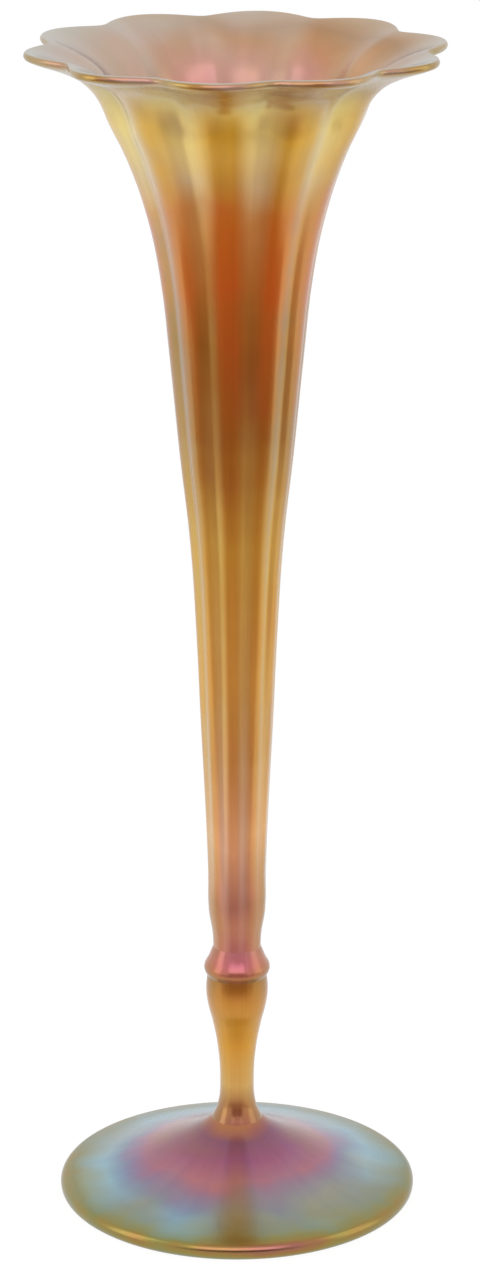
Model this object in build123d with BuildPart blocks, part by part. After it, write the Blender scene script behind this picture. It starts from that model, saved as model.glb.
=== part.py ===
"""A blown-glass trumpet vase: a ribbed bowl with a scalloped lip, a collar, a solid baluster stem
and a domed foot with a folded edge.

Millimetres, +Z up. The origin is on the vase's axis, in the plane that the foot rests on.
Five gathers of glass are fused face to face: from the table up, foot, stem, collar and bowl,
and the pontil_button in the hollow under the foot.
"""

import os
from math import cos, hypot, pi, radians, sin, sqrt

from build123d import *

# Foot: a domed disc with its edge folded under, so that it stands on a soft double-thick hem
foot_diameter = 92.4
foot_height = 20.0
foot_wall = 3.0
foot_hem_thickness = 1.6
foot_hem_width = 7.6
foot_neck_diameter = 13.0
foot_center_thickness = 6.2

# Button of glass pressed over the scar of the pontil rod, in the hollow of the foot
button_diameter = 18.0
button_thickness = 3.0

# Stem: a solid inverted baluster, shouldered under the collar and waisted above the foot
stem_length = 40.0
stem_shoulder_diameter = 16.0
stem_waist_diameter = 8.8
stem_top_diameter = 15.4

# Collar: a ring of glass between the stem and the bowl
collar_diameter = 17.0
collar_height = 8.0

# Bowl: the long hollow trumpet, blown into a ribbed mould and opened at the lip
bowl_height = 233.5
bowl_neck_diameter = 12.2
mouth_diameter = 104.4
bowl_wall = 2.1
bowl_base_thickness = 8.0
lip_angle = 22
rib_count = 10
rib_depth = 0.9
inner_rib_depth = 0.5
scallop_depth = 5.0
scallop_drop = 0.3

# Middle of the bowl's base, where the gores meet, and how far the core laps into them
bowl_core_diameter = 2.4
core_lap = 0.4

# Heights of the seats where one gather is fused to the next
stem_seat = foot_height
collar_seat = stem_seat + stem_length
bowl_seat = collar_seat + collar_height
button_seat = foot_height - foot_center_thickness

os.makedirs("parts", exist_ok=True)

# Pace of a curve at its two ends, against the straight distances between its points
even_pace = (1, 1)


def save(name, builder):
    """Labels a finished piece and writes its STEP file."""
    builder.part.label = name
    export_step(builder.part, f"parts/{name}.step")


# Foot

foot_radius = foot_diameter / 2
foot_neck_radius = foot_neck_diameter / 2
foot_edge_height = foot_wall + foot_hem_thickness
brim_radius = foot_radius - foot_edge_height / 2
button_radius = button_diameter / 2
hem_radius = foot_radius - foot_hem_width

# The top falls steeply from the stem, then flattens into the brim: (run share, fall share)
foot_top_shares = ((0, 0), (0.09, 0.17), (0.35, 0.495), (0.62, 0.76), (0.85, 0.92))
foot_top = [
    (
        foot_neck_radius + run * (brim_radius - foot_neck_radius),
        foot_height - fall * (foot_height - foot_edge_height),
    )
    for run, fall in foot_top_shares
]

# The underside keeps one wall below the middle of the top, from the hem to the button's seat
foot_under = [(r, z - foot_wall) for r, z in foot_top[2:4]]

with BuildPart() as foot:
    with BuildSketch(Plane.YZ):
        with BuildLine():
            brim_top = (brim_radius, foot_edge_height)
            brim_side = (foot_radius, foot_edge_height / 2)
            brim_base = (brim_radius, 0)
            hem_base = (hem_radius + foot_hem_thickness, 0)
            hem_top = (hem_radius, foot_hem_thickness)
            button_edge = (button_radius, button_seat)
            Line((0, foot_height), foot_top[0])
            Spline(
                *foot_top, brim_top, tangents=((1, -2), (1, 0)), tangent_scalars=even_pace
            )
            ThreePointArc(brim_top, brim_side, brim_base)
            Line(brim_base, hem_base)
            RadiusArc(hem_base, hem_top, foot_hem_thickness)
            Spline(hem_top, *reversed(foot_under), button_edge)
            Line(button_edge, (0, button_seat))
            Line((0, button_seat), (0, foot_height))
        make_face()
    revolve(axis=Axis.Z)

save("foot", foot)

# Pontil button

with BuildPart() as pontil_button:
    with BuildSketch(Plane.YZ):
        with BuildLine():
            button_middle = (0, button_seat - button_thickness)
            Line((0, button_seat), button_edge)
            EllipticalCenterArc(
                (0, button_seat), button_radius, button_thickness, start_angle=-90, arc_size=90
            )
            Line(button_middle, (0, button_seat))
        make_face()
    revolve(axis=Axis.Z)

save("pontil_button", pontil_button)

# Stem

stem_waist_radius = stem_waist_diameter / 2
stem_swell = (stem_shoulder_diameter - stem_waist_diameter) / 2

# From just above the foot to the shoulder: (height share, swell share)
stem_shares = ((0.1, 0.14), (0.28, 0), (0.5, 0.17), (0.68, 0.54), (0.8, 0.87), (0.9, 1))
stem_side = [
    (stem_waist_radius + swell * stem_swell, stem_seat + rise * stem_length)
    for rise, swell in stem_shares
]

with BuildPart() as stem:
    with BuildSketch(Plane.YZ):
        with BuildLine():
            stem_base = (foot_neck_radius, stem_seat)
            stem_top = (stem_top_diameter / 2, collar_seat)
            Line((0, stem_seat), stem_base)
            Spline(stem_base, *stem_side, stem_top)
            Line(stem_top, (0, collar_seat))
            Line((0, collar_seat), (0, stem_seat))
        make_face()
    revolve(axis=Axis.Z)

save("stem", stem)

# Collar

bowl_neck_radius = bowl_neck_diameter / 2
collar_swell = (collar_diameter - bowl_neck_diameter) / 2

# Belly of the ring, then its slope up to the bowl's neck: (height share, swell share)
collar_shares = ((0.27, 1), (0.62, 0.5))
collar_side = [
    (bowl_neck_radius + swell * collar_swell, collar_seat + rise * collar_height)
    for rise, swell in collar_shares
]

with BuildPart() as collar:
    with BuildSketch(Plane.YZ):
        with BuildLine():
            collar_top = (bowl_neck_radius, bowl_seat)
            Line((0, collar_seat), stem_top)
            Spline(
                stem_top,
                *collar_side,
                collar_top,
                tangents=((1, 1), (0, 1)),
                tangent_scalars=even_pace,
            )
            Line(collar_top, (0, bowl_seat))
            Line((0, bowl_seat), (0, collar_seat))
        make_face()
    revolve(axis=Axis.Z)

save("collar", collar)

# Bowl: one gore, from groove to groove, is lofted through profiles in planes round the axis

lip_radius = bowl_wall / 2
core_radius = bowl_core_diameter / 2
base_top = bowl_seat + bowl_base_thickness
gore_angle = 360 / rib_count

# Direction of the glass where it ends at the lip
lip_out = cos(radians(lip_angle))
lip_up = sin(radians(lip_angle))

# Outside of the bowl along a rib, from the neck up to the lip:
# (height share, flare share, rib share, scallop share)
bowl_shares = (
    (0.0, 0.0, 0.0, 0.0),
    (0.015, 0.004, 0.0, 0.0),
    (0.043, 0.026, 0.0, 0.0),
    (0.089, 0.03, 0.15, 0.0),
    (0.159, 0.044, 0.35, 0.0),
    (0.264, 0.071, 0.6, 0.0),
    (0.365, 0.094, 0.75, 0.0),
    (0.468, 0.127, 0.9, 0.0),
    (0.567, 0.183, 1.0, 0.0),
    (0.668, 0.233, 1.0, 0.0),
    (0.765, 0.288, 1.0, 0.02),
    (0.83, 0.357, 1.0, 0.06),
    (0.893, 0.468, 1.0, 0.15),
    (0.93, 0.56, 1.0, 0.25),
    (0.954, 0.613, 1.0, 0.35),
    (0.969, 0.67, 1.0, 0.45),
    (0.982, 0.76, 1.0, 0.6),
    (1.0, 1.0, 1.0, 1.0),
)

# The lowest rows of that table lie beside the solid base, and the bore starts above them
solid_rows = 2

# Angles of a gore's profiles, as shares of half a gore: closest together beside the grooves
profile_shares = (-1, -0.88, -0.68, -0.36, 0, 0.36, 0.68, 0.88, 1)

# How soft the grooves are: 0 is a sharp crease, and 1 nearly an even wave
groove_share = 0.25


def groove(angle_share):
    """How deep in the groove a profile lies: 0 on the crest of a rib, 1 in the groove."""
    crest = sqrt(cos(angle_share * pi / 2) ** 2 + groove_share**2) - groove_share
    return 1 - crest / (sqrt(1 + groove_share**2) - groove_share)


def skin(depth, relief):
    """Points up the outside of the bowl in one plane, with grooves as deep as the relief."""
    end_r = mouth_diameter / 2 - lip_radius + lip_radius * lip_up
    end_z = bowl_seat + bowl_height - lip_radius - lip_radius * lip_out
    return [
        (
            bowl_neck_radius
            + wide * (end_r - bowl_neck_radius)
            - depth * (rib * relief + scallop * scallop_depth),
            bowl_seat + high * (end_z - bowl_seat) - depth * scallop * scallop_drop,
        )
        for high, wide, rib, scallop in bowl_shares
    ]


def inward(points):
    """The same row of points moved one wall in, square to the row, without its two ends."""
    moved = []
    for (r0, z0), (r, z), (r1, z1) in zip(points, points[1:], points[2:]):
        length = hypot(r1 - r0, z1 - z0)
        moved.append((r - bowl_wall * (z1 - z0) / length, z + bowl_wall * (r1 - r0) / length))
    return moved


with BuildPart() as gore:
    for angle_share in profile_shares:
        depth = groove(angle_share)
        outer = skin(depth, rib_depth)
        end_r, end_z = outer[-1]
        lip_inner = (end_r - bowl_wall * lip_up, end_z + bowl_wall * lip_out)
        lip_tip = (
            end_r + lip_radius * (lip_out - lip_up),
            end_z + lip_radius * (lip_out + lip_up),
        )
        inner = inward(skin(depth, inner_rib_depth)[solid_rows:])
        base_middle = (core_radius, base_top)
        with BuildSketch(Plane.YZ.rotated((0, 0, angle_share * gore_angle / 2))):
            with BuildLine():
                Line((core_radius, bowl_seat), outer[0])
                Spline(
                    *outer, tangents=((0, 1), (lip_out, lip_up)), tangent_scalars=even_pace
                )
                ThreePointArc(outer[-1], lip_tip, lip_inner)
                Spline(
                    lip_inner,
                    *reversed(inner),
                    base_middle,
                    tangents=((-lip_out, -lip_up), (-1, 0)),
                    tangent_scalars=even_pace,
                )
                Line(base_middle, (core_radius, bowl_seat))
            make_face()
    loft()

with BuildPart() as bowl:
    with BuildSketch(Plane.XY.offset(bowl_seat)):
        Circle(core_radius + core_lap)
    extrude(amount=bowl_base_thickness)
    with PolarLocations(0, rib_count):
        add(gore.part)

save("bowl", bowl)
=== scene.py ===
# %% [markdown]
# # A trumpet vase of gold lustre glass
#
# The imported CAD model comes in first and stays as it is: it says where every piece lies.
# Each piece of glass is then made again here with a smooth skin that can carry a clear
# reflection, and stands for its CAD piece.
# Blender works in metres, so one named millimetre turns every real size into metres.

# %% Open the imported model
from math import atan2, cos, hypot, pi, radians, sin, sqrt, tau

import bmesh
import bpy
from mathutils import Matrix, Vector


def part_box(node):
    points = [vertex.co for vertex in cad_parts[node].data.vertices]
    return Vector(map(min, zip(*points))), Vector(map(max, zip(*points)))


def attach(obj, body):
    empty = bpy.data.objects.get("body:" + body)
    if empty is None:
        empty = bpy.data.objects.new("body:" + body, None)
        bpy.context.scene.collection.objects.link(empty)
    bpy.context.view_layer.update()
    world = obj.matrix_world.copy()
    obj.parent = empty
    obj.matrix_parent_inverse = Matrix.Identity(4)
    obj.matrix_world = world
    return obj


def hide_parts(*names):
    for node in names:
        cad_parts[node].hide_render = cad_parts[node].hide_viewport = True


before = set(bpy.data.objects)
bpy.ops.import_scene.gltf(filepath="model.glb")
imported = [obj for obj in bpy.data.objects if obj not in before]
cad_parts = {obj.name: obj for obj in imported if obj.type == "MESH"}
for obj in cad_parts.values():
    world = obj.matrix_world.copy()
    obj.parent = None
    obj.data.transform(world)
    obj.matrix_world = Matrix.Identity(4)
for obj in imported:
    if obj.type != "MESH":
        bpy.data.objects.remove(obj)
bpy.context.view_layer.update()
MM = 0.001

print("CAD nodes:", sorted(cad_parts))

# %% [markdown]
# ## Where the photographer stands
#
# A tall thin vase is photographed from a little above, so that both the lip and the foot
# open into ellipses. The ratio of the two ellipses gives the distance and the height.
# A long lens keeps the sides of the stem straight. The camera stands a little to one side
# of a rib, and the picture is shifted by a hair, because the vase isn't quite in its middle.

# %% Set the camera
camera_distance = 1047.4 * MM
camera_height = 483.6 * MM
camera_turn = radians(7)
camera_tilt = radians(17.53)
lens_mm, sensor_mm = 123.9, 36
picture_height = 1265
shift_left_px, shift_up_px = 3, 1

camera = bpy.data.objects.new("camera", bpy.data.cameras.new("camera"))
camera.data.lens = lens_mm
camera.data.sensor_width = sensor_mm
camera.data.shift_x = shift_left_px / picture_height
camera.data.shift_y = -shift_up_px / picture_height
camera.location = (
    camera_distance * sin(camera_turn),
    -camera_distance * cos(camera_turn),
    camera_height,
)
camera.rotation_euler = (pi / 2 - camera_tilt, 0, camera_turn)
bpy.context.scene.collection.objects.link(camera)
bpy.context.scene.camera = camera
bpy.context.scene.view_settings.view_transform = "Standard"

print("camera at", [round(c, 3) for c in camera.location])

# %% [markdown]
# ## Small helpers for colours and nodes
#
# Colours are written as the hex values that a picture editor shows. Blender computes with
# linear light, so one function turns them. A second one adds a shader node with its
# settings and its links, which keeps each recipe below short enough to read.

# %% Helpers for materials


def linear(hex_colour):
    """An sRGB hex colour as linear red, green and blue with full alpha."""
    shares = [int(hex_colour[i : i + 2], 16) / 255 for i in (1, 3, 5)]
    return *[s / 12.92 if s <= 0.04045 else ((s + 0.055) / 1.055) ** 2.4 for s in shares], 1


def add(tree, kind, settings=None, **links):
    """Adds a node. Settings are its properties, links are values or other nodes' outputs.

    A link is named for its socket, or i and the socket's number where names repeat.
    """
    node = tree.nodes.new(kind)
    for key, value in (settings or {}).items():
        setattr(node, key, value)
    for key, value in links.items():
        which = int(key[1:]) if key[1:].isdigit() else key.replace("_", " ")
        socket = node.inputs[which]
        if isinstance(value, bpy.types.NodeSocket):
            tree.links.new(value, socket)
        else:
            socket.default_value = value
    return node


def new_material(name):
    """An empty node material with its surface shader and output."""
    material = bpy.data.materials.new(name)
    material.use_nodes = True
    material.node_tree.nodes.clear()
    tree = material.node_tree
    shader = add(tree, "ShaderNodeBsdfPrincipled")
    add(tree, "ShaderNodeOutputMaterial", Surface=shader.outputs["BSDF"])
    return material, tree, shader


print("gold in linear light:", [round(c, 3) for c in linear("#c4872f")[:3]])

# %% [markdown]
# ## A white tent with an open front
#
# Lustre glass is a mirror as much as a colour, so what stands round it matters.
# The vase stands on white paper that runs up behind it, between two soft boxes.
# The tent is open at the front, where the room is dark, and only reflections show that.
# The light that falls on the glass stays at a plain level from all sides, so that a colour
# looks about as it is written.

# %% Hang the tent
plain_level = 0.68
dark_level = 0.03
opening_edge = (cos(radians(42)), cos(radians(20)))
front = (sin(camera_turn), -cos(camera_turn), 0)

world = bpy.data.worlds.new("white tent")
bpy.context.scene.world = world
world.use_nodes = True
tree = world.node_tree
tree.nodes.clear()
ray = add(tree, "ShaderNodeLightPath")
mirrored = add(
    tree,
    "ShaderNodeMath",
    {"operation": "MAXIMUM"},
    i0=ray.outputs["Is Glossy Ray"],
    i1=ray.outputs["Is Transmission Ray"],
)
way = add(tree, "ShaderNodeTexCoord").outputs["Generated"]
to_front = add(
    tree, "ShaderNodeVectorMath", {"operation": "DOT_PRODUCT"}, i0=way, i1=front
).outputs["Value"]
smooth = {"interpolation_type": "SMOOTHSTEP"}
walls = add(
    tree,
    "ShaderNodeMapRange",
    smooth,
    i0=to_front,
    i1=opening_edge[0],
    i2=opening_edge[1],
    i3=1.0,
    i4=dark_level,
)
in_glass = add(
    tree,
    "ShaderNodeMapRange",
    i0=mirrored.outputs["Value"],
    i3=plain_level,
    i4=walls.outputs["Result"],
)
strength = add(
    tree,
    "ShaderNodeMapRange",
    i0=ray.outputs["Is Camera Ray"],
    i3=in_glass.outputs["Result"],
    i4=1.0,
)
air = add(
    tree, "ShaderNodeBackground", Color=linear("#ffffff"), Strength=strength.outputs["Result"]
)
add(tree, "ShaderNodeOutputWorld", Surface=air.outputs["Background"])

print("the tent lights the glass at", plain_level)

# %% [markdown]
# ## The paper and the black cloth
#
# The white paper is white to the camera and in the glass, and keeps a faint shadow.
# On it lies a black cloth, from just past the foot towards the front. Photographers use one
# to give glass a dark heart, and here it keeps the middle of the bowl deep in colour.
# Its black fades out towards the vase and to both sides, and spreads like a fan further
# out, so that no hard edge shows in the glass.
# Only reflections show it, so that the paper stays white in every view.

# %% Lay the paper and the cloth
paper_size = 6000 * MM
paper_white, paper_glow, paper_roughness = 0.92, 1.03, 0.9
cloth_start, cloth_end = 50 * MM, 1500 * MM
black_from, black_full = 20 * MM, 310 * MM
cloth_edge = (cos(radians(68)), cos(radians(28)))
fan_from, fan_full, fan_spread = 300 * MM, 480 * MM, 0.7
lift = 1 * MM


def flat_sheet(name, bm):
    """A level sheet of the stage."""
    mesh = bpy.data.meshes.new(name)
    bm.to_mesh(mesh)
    bm.free()
    sheet = bpy.data.objects.new(name, mesh)
    bpy.context.scene.collection.objects.link(sheet)
    return sheet


bm = bmesh.new()
bmesh.ops.create_grid(bm, x_segments=1, y_segments=1, size=paper_size / 2)
paper = flat_sheet("paper", bm)
paper_sheet, tree, shader = new_material("white background paper")
shader.inputs["Base Color"].default_value = linear("#f7f7f6")
shader.inputs["Roughness"].default_value = paper_roughness
white = add(tree, "ShaderNodeEmission", Color=linear("#ffffff"), Strength=paper_glow)
ray = add(tree, "ShaderNodeLightPath").outputs
seen = add(
    tree,
    "ShaderNodeMath",
    {"operation": "MAXIMUM"},
    i0=ray["Is Glossy Ray"],
    i1=ray["Is Transmission Ray"],
)
seen = add(
    tree,
    "ShaderNodeMath",
    {"operation": "MAXIMUM"},
    i0=seen.outputs["Value"],
    i1=ray["Is Camera Ray"],
)
shown = add(tree, "ShaderNodeMapRange", i0=seen.outputs["Value"], i3=0.0, i4=paper_white)
look = add(
    tree,
    "ShaderNodeMixShader",
    i0=shown.outputs["Result"],
    i1=shader.outputs["BSDF"],
    i2=white.outputs["Emission"],
)
tree.links.new(look.outputs["Shader"], tree.nodes["Material Output"].inputs["Surface"])
paper.data.materials.append(paper_sheet)

# The cloth starts past the foot, and its black grows with the distance from the vase
bm = bmesh.new()
bmesh.ops.create_grid(bm, x_segments=1, y_segments=1, size=cloth_end)
bmesh.ops.scale(bm, vec=(1, 0.5 - cloth_start / cloth_end / 2, 1), verts=bm.verts)
bmesh.ops.translate(bm, vec=(0, -(cloth_start + cloth_end) / 2, lift), verts=bm.verts)
bmesh.ops.rotate(bm, matrix=Matrix.Rotation(camera_turn, 3, "Z"), verts=bm.verts)
cloth = flat_sheet("cloth", bm)
cloth.visible_camera = cloth.visible_diffuse = cloth.visible_shadow = False
black_cloth, tree, shader = new_material("black cloth")
place = add(tree, "ShaderNodeTexCoord").outputs["Object"]
away = add(tree, "ShaderNodeVectorMath", {"operation": "LENGTH"}, i0=place)
ahead = add(tree, "ShaderNodeVectorMath", {"operation": "NORMALIZE"}, i0=place)
ahead = add(
    tree,
    "ShaderNodeVectorMath",
    {"operation": "DOT_PRODUCT"},
    i0=ahead.outputs["Vector"],
    i1=front,
)
far = add(
    tree, "ShaderNodeMapRange", smooth, i0=away.outputs["Value"], i1=black_from, i2=black_full
)
fan = add(
    tree,
    "ShaderNodeMapRange",
    i0=away.outputs["Value"],
    i1=fan_from,
    i2=fan_full,
    i4=fan_spread,
)
spread = add(
    tree,
    "ShaderNodeMath",
    {"operation": "ADD"},
    i0=ahead.outputs["Value"],
    i1=fan.outputs["Result"],
)
middle = add(
    tree,
    "ShaderNodeMapRange",
    smooth,
    i0=spread.outputs["Value"],
    i1=cloth_edge[0],
    i2=cloth_edge[1],
)
black = add(
    tree,
    "ShaderNodeMath",
    {"operation": "MULTIPLY"},
    i0=far.outputs["Result"],
    i1=middle.outputs["Result"],
)
fade = add(tree, "ShaderNodeMapRange", i0=black.outputs["Value"], i3=paper_white, i4=dark_level)
shader.inputs["Base Color"].default_value = linear("#000000")
shader.inputs["Emission Color"].default_value = linear("#ffffff")
tree.links.new(fade.outputs["Result"], shader.inputs["Emission Strength"])
cloth.data.materials.append(black_cloth)

print("paper and cloth lie flat, the cloth from", round(cloth_start / MM), "mm in front")

# %% [markdown]
# ## The soft boxes
#
# A soft box is a lamp behind a sheet of white cloth. A bare lamp would leave hard dots on
# the glass, and these leave long soft bands instead. One stands on each side of the vase,
# and a wide one hangs high in front of it.

# %% Set up the soft boxes
# (name, place in millimetres, width, height, watts), all turned to the bowl
aim_height = 200
soft_boxes = (
    ("left soft box", (-520, -240, 300), 260, 600, 0.6),
    ("right soft box", (560, -20, 300), 320, 600, 0.45),
    ("soft box over the camera", (110, -900, 820), 1100, 700, 4.0),
)
for name, place, width, height, watts in soft_boxes:
    lamp = bpy.data.objects.new(name, bpy.data.lights.new(name, "AREA"))
    lamp.data.shape = "RECTANGLE"
    lamp.data.size, lamp.data.size_y = width * MM, height * MM
    lamp.data.energy = watts
    lamp.location = [c * MM for c in place]
    x, y, z = place
    lamp.rotation_euler = (pi / 2 - atan2(z - aim_height, hypot(x, y)), 0, atan2(x, -y))
    bpy.context.scene.collection.objects.link(lamp)
    print(name, "at", place, "mm,", watts, "W")

# %% [markdown]
# ## How a gather of glass becomes a skin in Blender
#
# Every piece of this vase was turned on an iron, so it is round, and half of its section
# says it all. The section is drawn as a smooth curve through a few measured points, and
# then spun once round the axis. Spinning keeps the rows of faces even, so that reflections
# run clean along the glass. The points are radius and height in millimetres.

# %% Helpers for spun glass
edges_between_points = 4
steps_round = 160
weld_distance = 0.001 * MM
sharpest_smooth_edge = radians(35)


def section(points, corners=()):
    """Edges of a smooth line through the points. Corners, by place in the list, stay sharp."""
    curve = bpy.data.curves.new("section", "CURVE")
    curve.dimensions = "3D"
    curve.resolution_u = edges_between_points
    line = curve.splines.new("BEZIER")
    line.bezier_points.add(len(points) - 1)
    for place, (knot, (r, z)) in enumerate(zip(line.bezier_points, points)):
        knot.co = (r * MM, 0, z * MM)
        kind = "VECTOR" if place in corners else "AUTO"
        knot.handle_left_type = knot.handle_right_type = kind
    drawing = bpy.data.objects.new("section", curve)
    bpy.context.scene.collection.objects.link(drawing)
    bpy.context.view_layer.update()
    mesh = bpy.data.meshes.new_from_object(drawing)
    bpy.data.objects.remove(drawing)
    return mesh


def spun(mesh, steps=steps_round):
    """A section turned once round the axis into a closed skin."""
    bm = bmesh.new()
    bm.from_mesh(mesh)
    bmesh.ops.spin(
        bm,
        geom=[*bm.verts, *bm.edges],
        cent=(0, 0, 0),
        axis=(0, 0, 1),
        angle=tau,
        steps=steps,
        use_merge=True,
    )
    bmesh.ops.remove_doubles(bm, verts=bm.verts, dist=weld_distance)
    bmesh.ops.recalc_face_normals(bm, faces=bm.faces)
    return bm


def finished(bm, name, node):
    """Makes the skin an object that stands for its CAD node and rides on the vase."""
    for face in bm.faces:
        face.smooth = True
    for edge in bm.edges:
        edge.smooth = edge.calc_face_angle(0) < sharpest_smooth_edge
    mesh = bpy.data.meshes.new(name)
    bm.to_mesh(mesh)
    bm.free()
    piece = bpy.data.objects.new(name, mesh)
    bpy.context.scene.collection.objects.link(piece)
    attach(piece, "root")
    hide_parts(node)
    lowest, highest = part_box(node)
    tall = round((highest.z - lowest.z) / MM, 1)
    print(name, "has", len(mesh.polygons), "faces and is", tall, "mm tall")
    return piece


print("a spun skin has", edges_between_points, "edges between points and", steps_round, "steps")

# %% [markdown]
# ## The foot
#
# The foot is a bubble of glass that was opened, spread into a low dome and folded under at
# its edge. The fold leaves a thick soft hem that the vase stands on, and a hollow behind it.
# One section runs over the dome, round the hem and back through the hollow, so that the wall
# has its true thickness from every side.

# %% Spin the foot
foot_radius, foot_height, foot_wall = 46.2, 20.0, 3.0
hem_thickness, hem_width = 1.6, 7.6
foot_neck = 6.5
button_radius, button_thickness, button_seat = 9.0, 3.0, 13.8

edge_height = foot_wall + hem_thickness
brim = foot_radius - edge_height / 2
slope_shares = ((0.09, 0.17), (0.35, 0.495), (0.62, 0.76), (0.85, 0.92))
slope = [
    (foot_neck + run * (brim - foot_neck), foot_height - fall * (foot_height - edge_height))
    for run, fall in slope_shares
]
edge = [
    (brim + edge_height / 2 * sin(turn), edge_height / 2 * (1 + cos(turn)))
    for turn in (0, pi / 4, pi / 2, 3 * pi / 4, pi)
]
hem = foot_radius - hem_width
hem_inside = [
    (hem + hem_thickness * (1 - sin(turn)), hem_thickness * (1 - cos(turn)))
    for turn in (0, pi / 4, pi / 2)
]
hollow = [(r, z - foot_wall) for r, z in reversed(slope[1:3])]
points = [(0, foot_height), (foot_neck, foot_height), *slope, *edge, *hem_inside, *hollow]
points += [(button_radius, button_seat), (0, button_seat)]
hem_start = len(slope) + len(edge) + 1
corners = {0, 1, hem_start, hem_start + 1, len(points) - 2, len(points) - 1}
glass_foot = finished(spun(section(points, corners)), "glass_foot", "foot")

# %% [markdown]
# ## The button under the foot
#
# While the lip was worked, an iron rod held the vase by its foot. When it was broken off,
# it left a scar, and a little button of glass was pressed over it. A flattened ball would do,
# but a quarter of an ellipse, spun round, has a level seat to lie against the foot.

# %% Spin the button
button = [
    (button_radius * cos(turn), button_seat - button_thickness * sin(turn))
    for turn in (0, pi / 8, pi / 4, 3 * pi / 8, pi / 2)
]
glass_button = finished(
    spun(section([(0, button_seat), *button], {0, 1})),
    "glass_button",
    "pontil_button",
)

# %% [markdown]
# ## The stem
#
# The stem is a solid gather, pulled thin above the foot and left full under the collar.
# It could be stacked from cones and balls, but one curve through a few points leaves no
# crease for the light to catch on.

# %% Spin the stem
stem_foot, stem_length = foot_height, 40.0
waist, shoulder, stem_top = 4.4, 8.0, 7.7
stem_shares = ((0.1, 0.14), (0.28, 0), (0.5, 0.17), (0.68, 0.54), (0.8, 0.87), (0.9, 1))
collar_foot = stem_foot + stem_length
side = [
    (waist + wide * (shoulder - waist), stem_foot + high * stem_length)
    for high, wide in stem_shares
]
points = [(0, stem_foot), (foot_neck, stem_foot), *side, (stem_top, collar_foot), (0, collar_foot)]
glass_stem = finished(
    spun(section(points, {0, 1, len(points) - 2, len(points) - 1})),
    "glass_stem",
    "stem",
)

# %% [markdown]
# ## The collar
#
# The collar is a ring of glass between the stem and the bowl. The seams above and below it
# are corners of its section and stay sharp, because it was a gather of its own.

# %% Spin the collar
collar_height, collar_belly, bowl_neck = 8.0, 8.5, 6.1
bowl_foot = collar_foot + collar_height
collar_shares = ((0.27, 1), (0.62, 0.5))
side = [
    (bowl_neck + wide * (collar_belly - bowl_neck), collar_foot + high * collar_height)
    for high, wide in collar_shares
]
points = [(0, collar_foot), (stem_top, collar_foot), *side, (bowl_neck, bowl_foot), (0, bowl_foot)]
glass_collar = finished(
    spun(section(points, {0, 1, len(points) - 2, len(points) - 1})),
    "glass_collar",
    "collar",
)

# %% [markdown]
# ## The bowl
#
# The bowl was blown into a mould with ten ribs, drawn out long, and its lip was opened
# with a flick of the wrist, so that the ribs run out into ten shallow scallops.
# The same order works here: spin a smooth trumpet first, then press the grooves into it.

# %% Spin a smooth trumpet
bowl_height, mouth_radius, wall, base_thickness = 233.5, 52.15, 2.1, 8.0
lip_angle = radians(22)
core_radius = 1.2

# Outside of the bowl from the neck to the lip:
# (height share, flare share, rib share, scallop share)
bowl_shares = (
    (0.0, 0.0, 0.0, 0.0),
    (0.015, 0.004, 0.0, 0.0),
    (0.043, 0.026, 0.0, 0.0),
    (0.089, 0.03, 0.15, 0.0),
    (0.159, 0.044, 0.35, 0.0),
    (0.264, 0.071, 0.6, 0.0),
    (0.365, 0.094, 0.75, 0.0),
    (0.468, 0.127, 0.9, 0.0),
    (0.567, 0.183, 1.0, 0.0),
    (0.668, 0.233, 1.0, 0.0),
    (0.765, 0.288, 1.0, 0.02),
    (0.83, 0.357, 1.0, 0.06),
    (0.893, 0.468, 1.0, 0.15),
    (0.93, 0.56, 1.0, 0.25),
    (0.954, 0.613, 1.0, 0.35),
    (0.969, 0.67, 1.0, 0.45),
    (0.982, 0.76, 1.0, 0.6),
    (1.0, 1.0, 1.0, 1.0),
)
# The lowest rows lie beside the solid base, and the scallops start above the last plain row
solid_rows = 2
last_plain_row = 9

lip = wall / 2
end_r = mouth_radius - lip + lip * sin(lip_angle)
end_z = bowl_foot + bowl_height - lip - lip * cos(lip_angle)
outside = [
    (bowl_neck + wide * (end_r - bowl_neck), bowl_foot + high * (end_z - bowl_foot))
    for high, wide, rib, scallop in bowl_shares
]
lip_r, lip_z = end_r - lip * sin(lip_angle), end_z + lip * cos(lip_angle)
rolled = [
    (lip_r + lip * cos(turn + lip_angle), lip_z + lip * sin(turn + lip_angle))
    for turn in (-pi / 4, 0, pi / 4, pi / 2)
]


def inward(points):
    """The same row of points moved one wall in, square to the row, without its two ends."""
    moved = []
    for (r0, z0), (r, z), (r1, z1) in zip(points, points[1:], points[2:]):
        length = hypot(r1 - r0, z1 - z0)
        moved.append((r - wall * (z1 - z0) / length, z + wall * (r1 - r0) / length))
    return moved


bore = inward(outside[solid_rows:])
base_top = bowl_foot + base_thickness
points = [(0, bowl_foot), *outside, *rolled, *reversed(bore)]
points += [(core_radius, base_top), (0, base_top)]
steps_per_rib = 24
rib_count = 10
bowl_skin = spun(section(points, {0, 1, len(points) - 1}), rib_count * steps_per_rib)

print("smooth trumpet:", len(bowl_skin.verts), "points")

# %% [markdown]
# ## The ribs and the scallops
#
# The ribs come from the mould, and they run out into scallops where the lip was opened.
# They could be cut with other solids, but moving points keeps the even rows of faces.
# Each point moves towards the axis: by nothing on the crest of a rib, and by most in the
# groove. The table of shares says how much a groove counts at each height.

# %% Press the ribs and the scallops
rib_depth, inner_rib_depth = 0.9, 0.5
scallop_depth, scallop_drop = 5.0, 0.3
groove_share = 0.25
unpressed_radius = core_radius + 0.1


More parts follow.
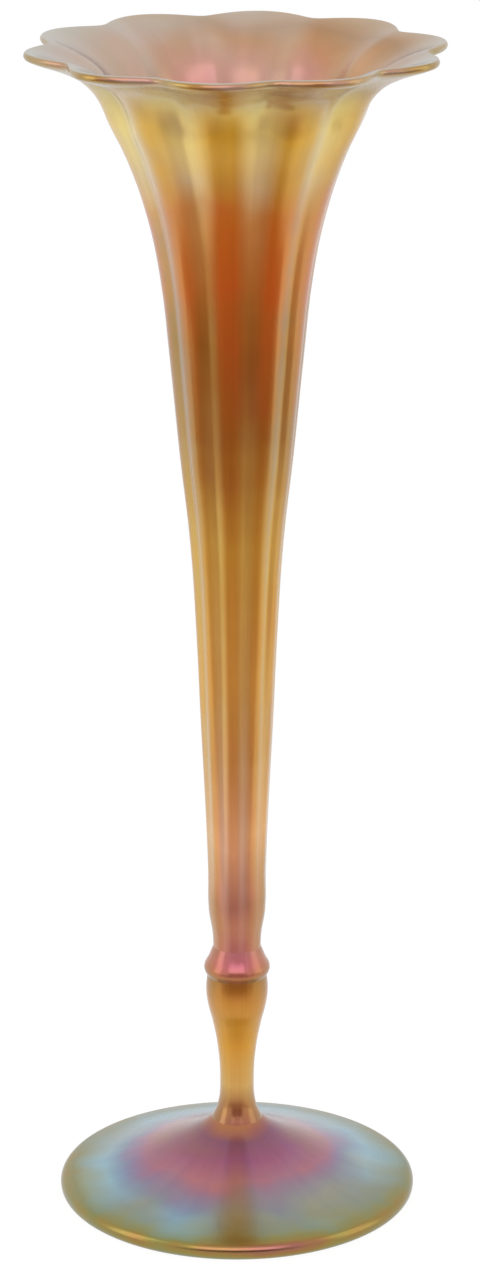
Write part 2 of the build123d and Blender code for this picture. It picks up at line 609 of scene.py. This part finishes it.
def groove(angle):
    """0 on the crest of a rib and 1 in the middle of a groove. A crest faces +Y."""
    share = (angle - pi / 2) * rib_count / tau
    crest = sqrt(cos((share - round(share)) * pi) ** 2 + groove_share**2) - groove_share
    return 1 - crest / (sqrt(1 + groove_share**2) - groove_share)


def between(value, pairs):
    """Reads a table of pairs, in rising order, between its rows."""
    for (a, low), (b, high) in zip(pairs, pairs[1:]):
        if value < b:
            return low + (high - low) * max(0, value - a) / (b - a)
    return pairs[-1][1]


rib_by_height = [(z, row[2]) for (r, z), row in zip(outside, bowl_shares)]
scallop_by_radius = [(r, row[3]) for (r, z), row in zip(outside, bowl_shares) if row[3]]
scallop_by_radius.insert(0, (outside[last_plain_row][0], 0))
deepest = 0
for vert in bowl_skin.verts:
    r, z = hypot(vert.co.x, vert.co.y) / MM, vert.co.z / MM
    if r < unpressed_radius:
        continue
    inner = vert.normal.z > 0
    depth = groove(atan2(vert.co.y, vert.co.x))
    rib = between(z, rib_by_height) * (inner_rib_depth if inner else rib_depth)
    scallop = between(r, scallop_by_radius)
    inset = depth * (rib + scallop * scallop_depth)
    vert.co.x *= 1 - inset / r
    vert.co.y *= 1 - inset / r
    vert.co.z -= depth * scallop * scallop_drop * MM
    deepest = max(deepest, inset)
bowl_skin.normal_update()
glass_bowl = finished(bowl_skin, "glass_bowl", "bowl")

print("the grooves are up to", round(deepest, 2), "mm deep, at the lip")

# %% [markdown]
# ## Gold lustre
#
# The glass is soda-lime glass with silver in it. While it was still hot, it was sprayed
# with tin and iron salts, which left a film of metal oxide about as thick as half a wave
# of light is long. The film changes with how far the glass was stretched, so its colour
# runs from gold through burnt orange and rose to blue along the vase.
# So each piece has a row of bands along its height or its radius, each with the colour of
# the glass and the thickness of the film in nanometres. Blender works out which colours
# such a film mirrors, and from which angle.
# Each band has two colours. On the bowl they take turns with the ribs, and on the other
# pieces in soft clouds. Both lean to the side that faces the camera, as a painted reflection
# of the dark front of the room: the deeper first colour grows there, and the paler one away from
# it.
# All of it comes from Object coordinates, so it stays on the glass from every side.

# %% Bands of colour along the glass


def bands_of_colour(tree, distance, bands):
    """A ramp of bands along a distance: (millimetres, hex colour, share for the alpha)."""
    first, last = bands[0][0], bands[-1][0]
    share = add(tree, "ShaderNodeMapRange", i0=distance, i1=first * MM, i2=last * MM)
    ramp = add(tree, "ShaderNodeValToRGB", Fac=share.outputs["Result"])
    stops = ramp.color_ramp.elements
    for at, colour, alpha in bands:
        ends = {first: stops[0], last: stops[-1]}
        stop = ends.get(at) or stops.new((at - first) / (last - first))
        stop.color = *linear(colour)[:3], alpha
    return ramp.outputs


def along_ribs(tree, axes):
    """1 on the crest of each rib, and 0 in the grooves."""
    angle = add(tree, "ShaderNodeMath", {"operation": "ARCTAN2"}, i0=axes["X"], i1=axes["Y"])
    turns = add(
        tree, "ShaderNodeMath", {"operation": "MULTIPLY"}, i0=angle.outputs["Value"], i1=rib_count
    )
    wave = add(tree, "ShaderNodeMath", {"operation": "COSINE"}, i0=turns.outputs["Value"])
    return add(tree, "ShaderNodeMapRange", i0=wave.outputs["Value"], i1=-1.0).outputs["Result"]


print("colour can run along the height, the radius or the", rib_count, "ribs")

# %% [markdown]
# ## One recipe for all the glass
#
# The vase was sprayed in one go, so its pieces share one recipe. They differ in their bands,
# in the side that faces the camera, which gets a painted reflection, and in how dull they are.
# The colour could be painted on a picture, but bands along the glass need no unwrapping and
# stay clear at any size.
# The film wanders in thickness, and streaks run along the glass as it was pulled. Real
# streaks are finer than these, which are drawn just wide enough to show.

# %% The recipe for lustre
# Real sizes: the film's spread in nanometres, the clouds and streaks in millimetres
film_spread_nm, thickest_nm = 10, 400
glass_ior = 1.52
coat_weight, coat_roughness = 0.15, 0.08
wander_size, cloud_size, cloud_detail = 18 * MM, 34 * MM, 2.0
wander_low, wander_high = 0.3, 0.7
# Shares of the painted reflection, which leans the colours towards the side that faces the camera
cloud_painted_reflection, cloud_window = 0.2, (0.45, 0.7)
rib_painted_reflection, rib_window = 0.5, (0.25, 1.25)
streak_size, streak_radius, streak_draw, streak_detail = 1.6 * MM, 15 * MM, 0.03, 1.5
streak_low, streak_high = 0.2, 0.8
streak_light, streak_dull = 0.08, 0.1
ripple_height = 0.02 * MM
unclamped = {"clamp": False}


def lustre(name, along, bands, ribbed, painted_reflection_side, wander_mm, roughness, metal, film_ior):
    """Lustred glass in bands: (mm, colour on ribs or painted reflection side, colour between, film
    nm).
    """
    material, tree, shader = new_material(name)
    place = add(tree, "ShaderNodeTexCoord").outputs["Object"]
    axes = add(tree, "ShaderNodeSeparateXYZ", Vector=place).outputs
    flat = add(tree, "ShaderNodeCombineXYZ", X=axes["X"], Y=axes["Y"])
    length = add(tree, "ShaderNodeVectorMath", {"operation": "LENGTH"}, i0=flat.outputs["Vector"])
    distance = length.outputs["Value"] if along == "radius" else axes["Z"]

    # The bands wander, as the film does
    wander = add(
        tree, "ShaderNodeTexNoise", Vector=place, Scale=1 / wander_size, Detail=cloud_detail
    )
    shift = add(
        tree,
        "ShaderNodeMapRange",
        unclamped,
        i0=wander.outputs["Fac"],
        i1=wander_low,
        i2=wander_high,
        i3=-wander_mm * MM,
        i4=wander_mm * MM,
    )
    moved = add(
        tree, "ShaderNodeMath", {"operation": "ADD"}, i0=distance, i1=shift.outputs["Result"]
    ).outputs["Value"]

    # Two colours take turns, with the ribs or in clouds, and lean to the side that faces the
    # camera:
    # a painted reflection of the dark front of the room
    round_axis = add(
        tree, "ShaderNodeVectorMath", {"operation": "NORMALIZE"}, i0=flat.outputs["Vector"]
    )
    if ribbed:
        pattern, share, window = along_ribs(tree, axes), rib_painted_reflection, rib_window
    else:
        cloud = add(
            tree, "ShaderNodeTexNoise", Vector=place, Scale=1 / cloud_size, Detail=cloud_detail
        )
        pattern, share, window = cloud.outputs["Fac"], cloud_painted_reflection, cloud_window
    side = add(
        tree,
        "ShaderNodeVectorMath",
        {"operation": "DOT_PRODUCT"},
        i0=round_axis.outputs["Vector"],
        i1=(*painted_reflection_side, 0),
    )
    painted_reflection_lean = add(
        tree,
        "ShaderNodeMath",
        {"operation": "MULTIPLY_ADD"},
        i0=side.outputs["Value"],
        i1=share,
        i2=pattern,
    )
    turns = add(
        tree, "ShaderNodeMapRange", i0=painted_reflection_lean.outputs["Value"], i1=window[0], i2=window[1]
    ).outputs["Result"]
    bare = bands_of_colour(tree, moved, [(at, low, 1) for at, high, low, nm in bands])
    full = bands_of_colour(
        tree, moved, [(at, high, nm / thickest_nm) for at, high, low, nm in bands]
    )
    mixed = add(
        tree,
        "ShaderNodeMix",
        {"data_type": "RGBA"},
        i0=turns,
        i6=bare["Color"],
        i7=full["Color"],
    )

    # Streaks of thinner and thicker film run along the glass, and fan out where it does
    outline = add(
        tree, "ShaderNodeMath", {"operation": "ADD"}, i0=axes["Z"], i1=length.outputs["Value"]
    )
    drawn_out = add(
        tree,
        "ShaderNodeMath",
        {"operation": "MULTIPLY"},
        i0=outline.outputs["Value"],
        i1=streak_draw / streak_radius,
    )
    raised = add(tree, "ShaderNodeCombineXYZ", Z=drawn_out.outputs["Value"])
    along_glass = add(
        tree,
        "ShaderNodeVectorMath",
        {"operation": "ADD"},
        i0=round_axis.outputs["Vector"],
        i1=raised.outputs["Vector"],
    )
    streak = add(
        tree,
        "ShaderNodeTexNoise",
        Vector=along_glass.outputs["Vector"],
        Scale=streak_radius / streak_size,
        Detail=streak_detail,
    ).outputs["Fac"]
    light = add(
        tree,
        "ShaderNodeMapRange",
        unclamped,
        i0=streak,
        i1=streak_low,
        i2=streak_high,
        i3=1 - streak_light,
        i4=1 + streak_light,
    )
    colour = add(
        tree, "ShaderNodeHueSaturation", Color=mixed.outputs[2], Value=light.outputs["Result"]
    )
    tree.links.new(colour.outputs["Color"], shader.inputs["Base Color"])

    # Each glass stays under 0.27 in roughness or over it. The denoiser tells glossy from dull
    # surfaces there, and would draw a hairline where a streak crosses from one to the other.
    dull = add(
        tree,
        "ShaderNodeMapRange",
        unclamped,
        i0=streak,
        i1=streak_low,
        i2=streak_high,
        i3=roughness * (1 - streak_dull),
        i4=roughness * (1 + streak_dull),
    )
    tree.links.new(dull.outputs["Result"], shader.inputs["Roughness"])

    # The film is thicker in some places than in others, and mirrors other colours there
    spread = add(
        tree,
        "ShaderNodeMapRange",
        unclamped,
        i0=wander.outputs["Fac"],
        i1=wander_low,
        i2=wander_high,
        i3=-film_spread_nm,
        i4=film_spread_nm,
    )
    thickness = add(
        tree,
        "ShaderNodeMath",
        {"operation": "MULTIPLY_ADD"},
        i0=full["Alpha"],
        i1=thickest_nm,
        i2=spread.outputs["Result"],
    )
    tree.links.new(thickness.outputs["Value"], shader.inputs["Thin Film Thickness"])
    shader.inputs["Thin Film IOR"].default_value = film_ior

    # Faint ripples, left by the tools and by the pull
    ripple = add(tree, "ShaderNodeBump", Height=streak, Distance=ripple_height, Strength=1.0)
    tree.links.new(ripple.outputs["Normal"], shader.inputs["Normal"])
    shader.inputs["Metallic"].default_value = metal
    shader.inputs["IOR"].default_value = glass_ior
    shader.inputs["Coat Weight"].default_value = coat_weight
    shader.inputs["Coat Roughness"].default_value = coat_roughness
    print(name, "has", len(bands), "bands of colour by", along)
    return material


print("streaks", round(streak_size / MM, 1), "mm wide, clouds", round(cloud_size / MM), "mm")

# %% [markdown]
# ## The lustre of each piece
#
# Each piece was stretched in its own way, so its film has its own row of bands. They are
# given a few to a piece, and the ramp fades each one into the next.

# %% Lustre of the bowl
# Blown and sprayed glass. It gives the eye gold at the flare, burnt orange in the heart,
# amber further down and rose at the neck.
bowl_lustre = lustre(
    "gold lustre glass, bowl",
    "height",
    (
        (68, "#a05448", "#ac6860", 256),
        (82, "#985840", "#ac7864", 254),
        (100, "#d4905c", "#d4a88c", 249),
        (120, "#bc7434", "#c8986c", 245),
        (140, "#c88034", "#c89454", 242),
        (175, "#bc7824", "#c89444", 239),
        (205, "#984808", "#a06430", 237),
        (229, "#a84404", "#8c4c10", 237),
        (243, "#bc4404", "#ac6024", 237),
        (262, "#c05404", "#c07c44", 237),
        (273, "#bc7820", "#ccac88", 238),
        (284, "#cc901c", "#e4c880", 242),
        (298.5, "#8c5830", "#987860", 245),
        (300.5, "#9c7c68", "#9c8070", 250),
    ),
    ribbed=True,
    # The front, a little to the right, takes the deeper first colours: a painted reflection of the
    # dark front of the room
    painted_reflection_side=(0.5, -0.87),
    wander_mm=5,
    roughness=0.22,
    metal=0.1,
    film_ior=1.95,
)
# The inside got less spray. It gives the eye pale rose, greyer towards the lip.
inner_lustre = lustre(
    "rose lustre glass, inside of the lip",
    "radius",
    (
        (6, "#7a4a20", "#7a4a20", 250),
        (20, "#b08064", "#b49490", 264),
        (32, "#c48c74", "#b89c98", 262),
        (38, "#a86c50", "#b49490", 262),
        (42, "#986450", "#b09898", 264),
        (48, "#a8806c", "#aca4a4", 268),
        (52, "#a88470", "#acacac", 272),
    ),
    ribbed=False,
    # The back of the inside faces the camera and takes the rosier first colours, a painted
    # reflection; the sides stay greyer
    painted_reflection_side=(0.4, 0.92),
    wander_mm=2,
    roughness=0.32,
    metal=0.1,
    film_ior=1.85,
)

# %% Lustre of the collar and the stem
# A thin ring that cooled first. It gives the eye a band of clear rose.
collar_lustre = lustre(
    "rose lustre glass, collar",
    "height",
    (
        (60, "#90521c", "#90521c", 250),
        (62, "#a0563c", "#a45e4c", 255),
        (65, "#ac5858", "#b06060", 268),
        (68, "#a05c56", "#a0645c", 270),
    ),
    ribbed=False,
    # The front takes the slightly deeper first colours, a painted reflection of the dark front of
    # the room
    painted_reflection_side=(0, -1),
    wander_mm=0.3,
    roughness=0.24,
    metal=0.2,
    film_ior=1.85,
)
# Solid glass that stayed hot for longest. It gives the eye the clearest gold.
stem_lustre = lustre(
    "gold lustre glass, stem",
    "height",
    (
        (20, "#8c4c3c", "#8c4c3c", 265),
        (24, "#a05c38", "#a05c38", 258),
        (30, "#cc9850", "#cc9c60", 250),
        (42, "#d08814", "#d08c18", 249),
        (54, "#bc6c0c", "#bc7018", 250),
        (60, "#985414", "#985414", 250),
    ),
    ribbed=False,
    # The front takes the slightly deeper first colours, a painted reflection of the dark front of
    # the room
    painted_reflection_side=(0, -1),
    wander_mm=1,
    roughness=0.2,
    metal=0.2,
    film_ior=1.85,
)

# %% Lustre of the foot and the button
# Spun open, so its film is thinnest. It gives the eye purple by the stem, then rose, a
# ring of blue and a brown gold edge.
foot_lustre = lustre(
    "rose and blue lustre glass, foot",
    "radius",
    (
        (6, "#8c4c3c", "#8c4c3c", 115),
        (10, "#684050", "#5c3c54", 128),
        (16, "#84485c", "#704458", 130),
        (23, "#a8684c", "#905c60", 138),
        (29, "#9c6844", "#8c7478", 163),
        (35, "#805840", "#8c9ca8", 187),
        (41, "#604028", "#74746c", 202),
        (44, "#402814", "#44362a", 218),
        (46, "#503018", "#5c4834", 227),
    ),
    ribbed=False,
    # The front takes the browner first colours, a painted reflection of the dark front of the
    # room; the sides and back keep the blue
    painted_reflection_side=(0, -1),
    wander_mm=1.5,
    roughness=0.24,
    metal=0.1,
    film_ior=2.1,
)
# Pressed on last and hardly sprayed. It gives the eye plain dark amber.
button_lustre = lustre(
    "amber lustre glass, button",
    "radius",
    ((0, "#7c5028", "#7c5028", 250), (9, "#94642c", "#94642c", 250)),
    ribbed=False,
    painted_reflection_side=(0, -1),
    wander_mm=0.5,
    roughness=0.32,
    metal=0.1,
    film_ior=1.85,
)

# %% [markdown]
# ## Lustre on the glass
#
# The bowl takes two kinds: its outside was sprayed fully and its inside less. The way that
# a face looks tells which side it is on, so no edge has to be marked by hand.

# %% Give each piece its lustre
level_face = 0.8

glass_bowl.data.materials.append(bowl_lustre)
glass_bowl.data.materials.append(inner_lustre)
for face in glass_bowl.data.polygons:
    outward = face.normal.x * face.center.x + face.normal.y * face.center.y
    face.material_index = 1 if outward < 0 or face.normal.z > level_face else 0
glass_collar.data.materials.append(collar_lustre)
glass_stem.data.materials.append(stem_lustre)
glass_foot.data.materials.append(foot_lustre)
glass_button.data.materials.append(button_lustre)

inner_faces = sum(face.material_index for face in glass_bowl.data.polygons)
print(inner_faces, "of the bowl's", len(glass_bowl.data.polygons), "faces lie inside")
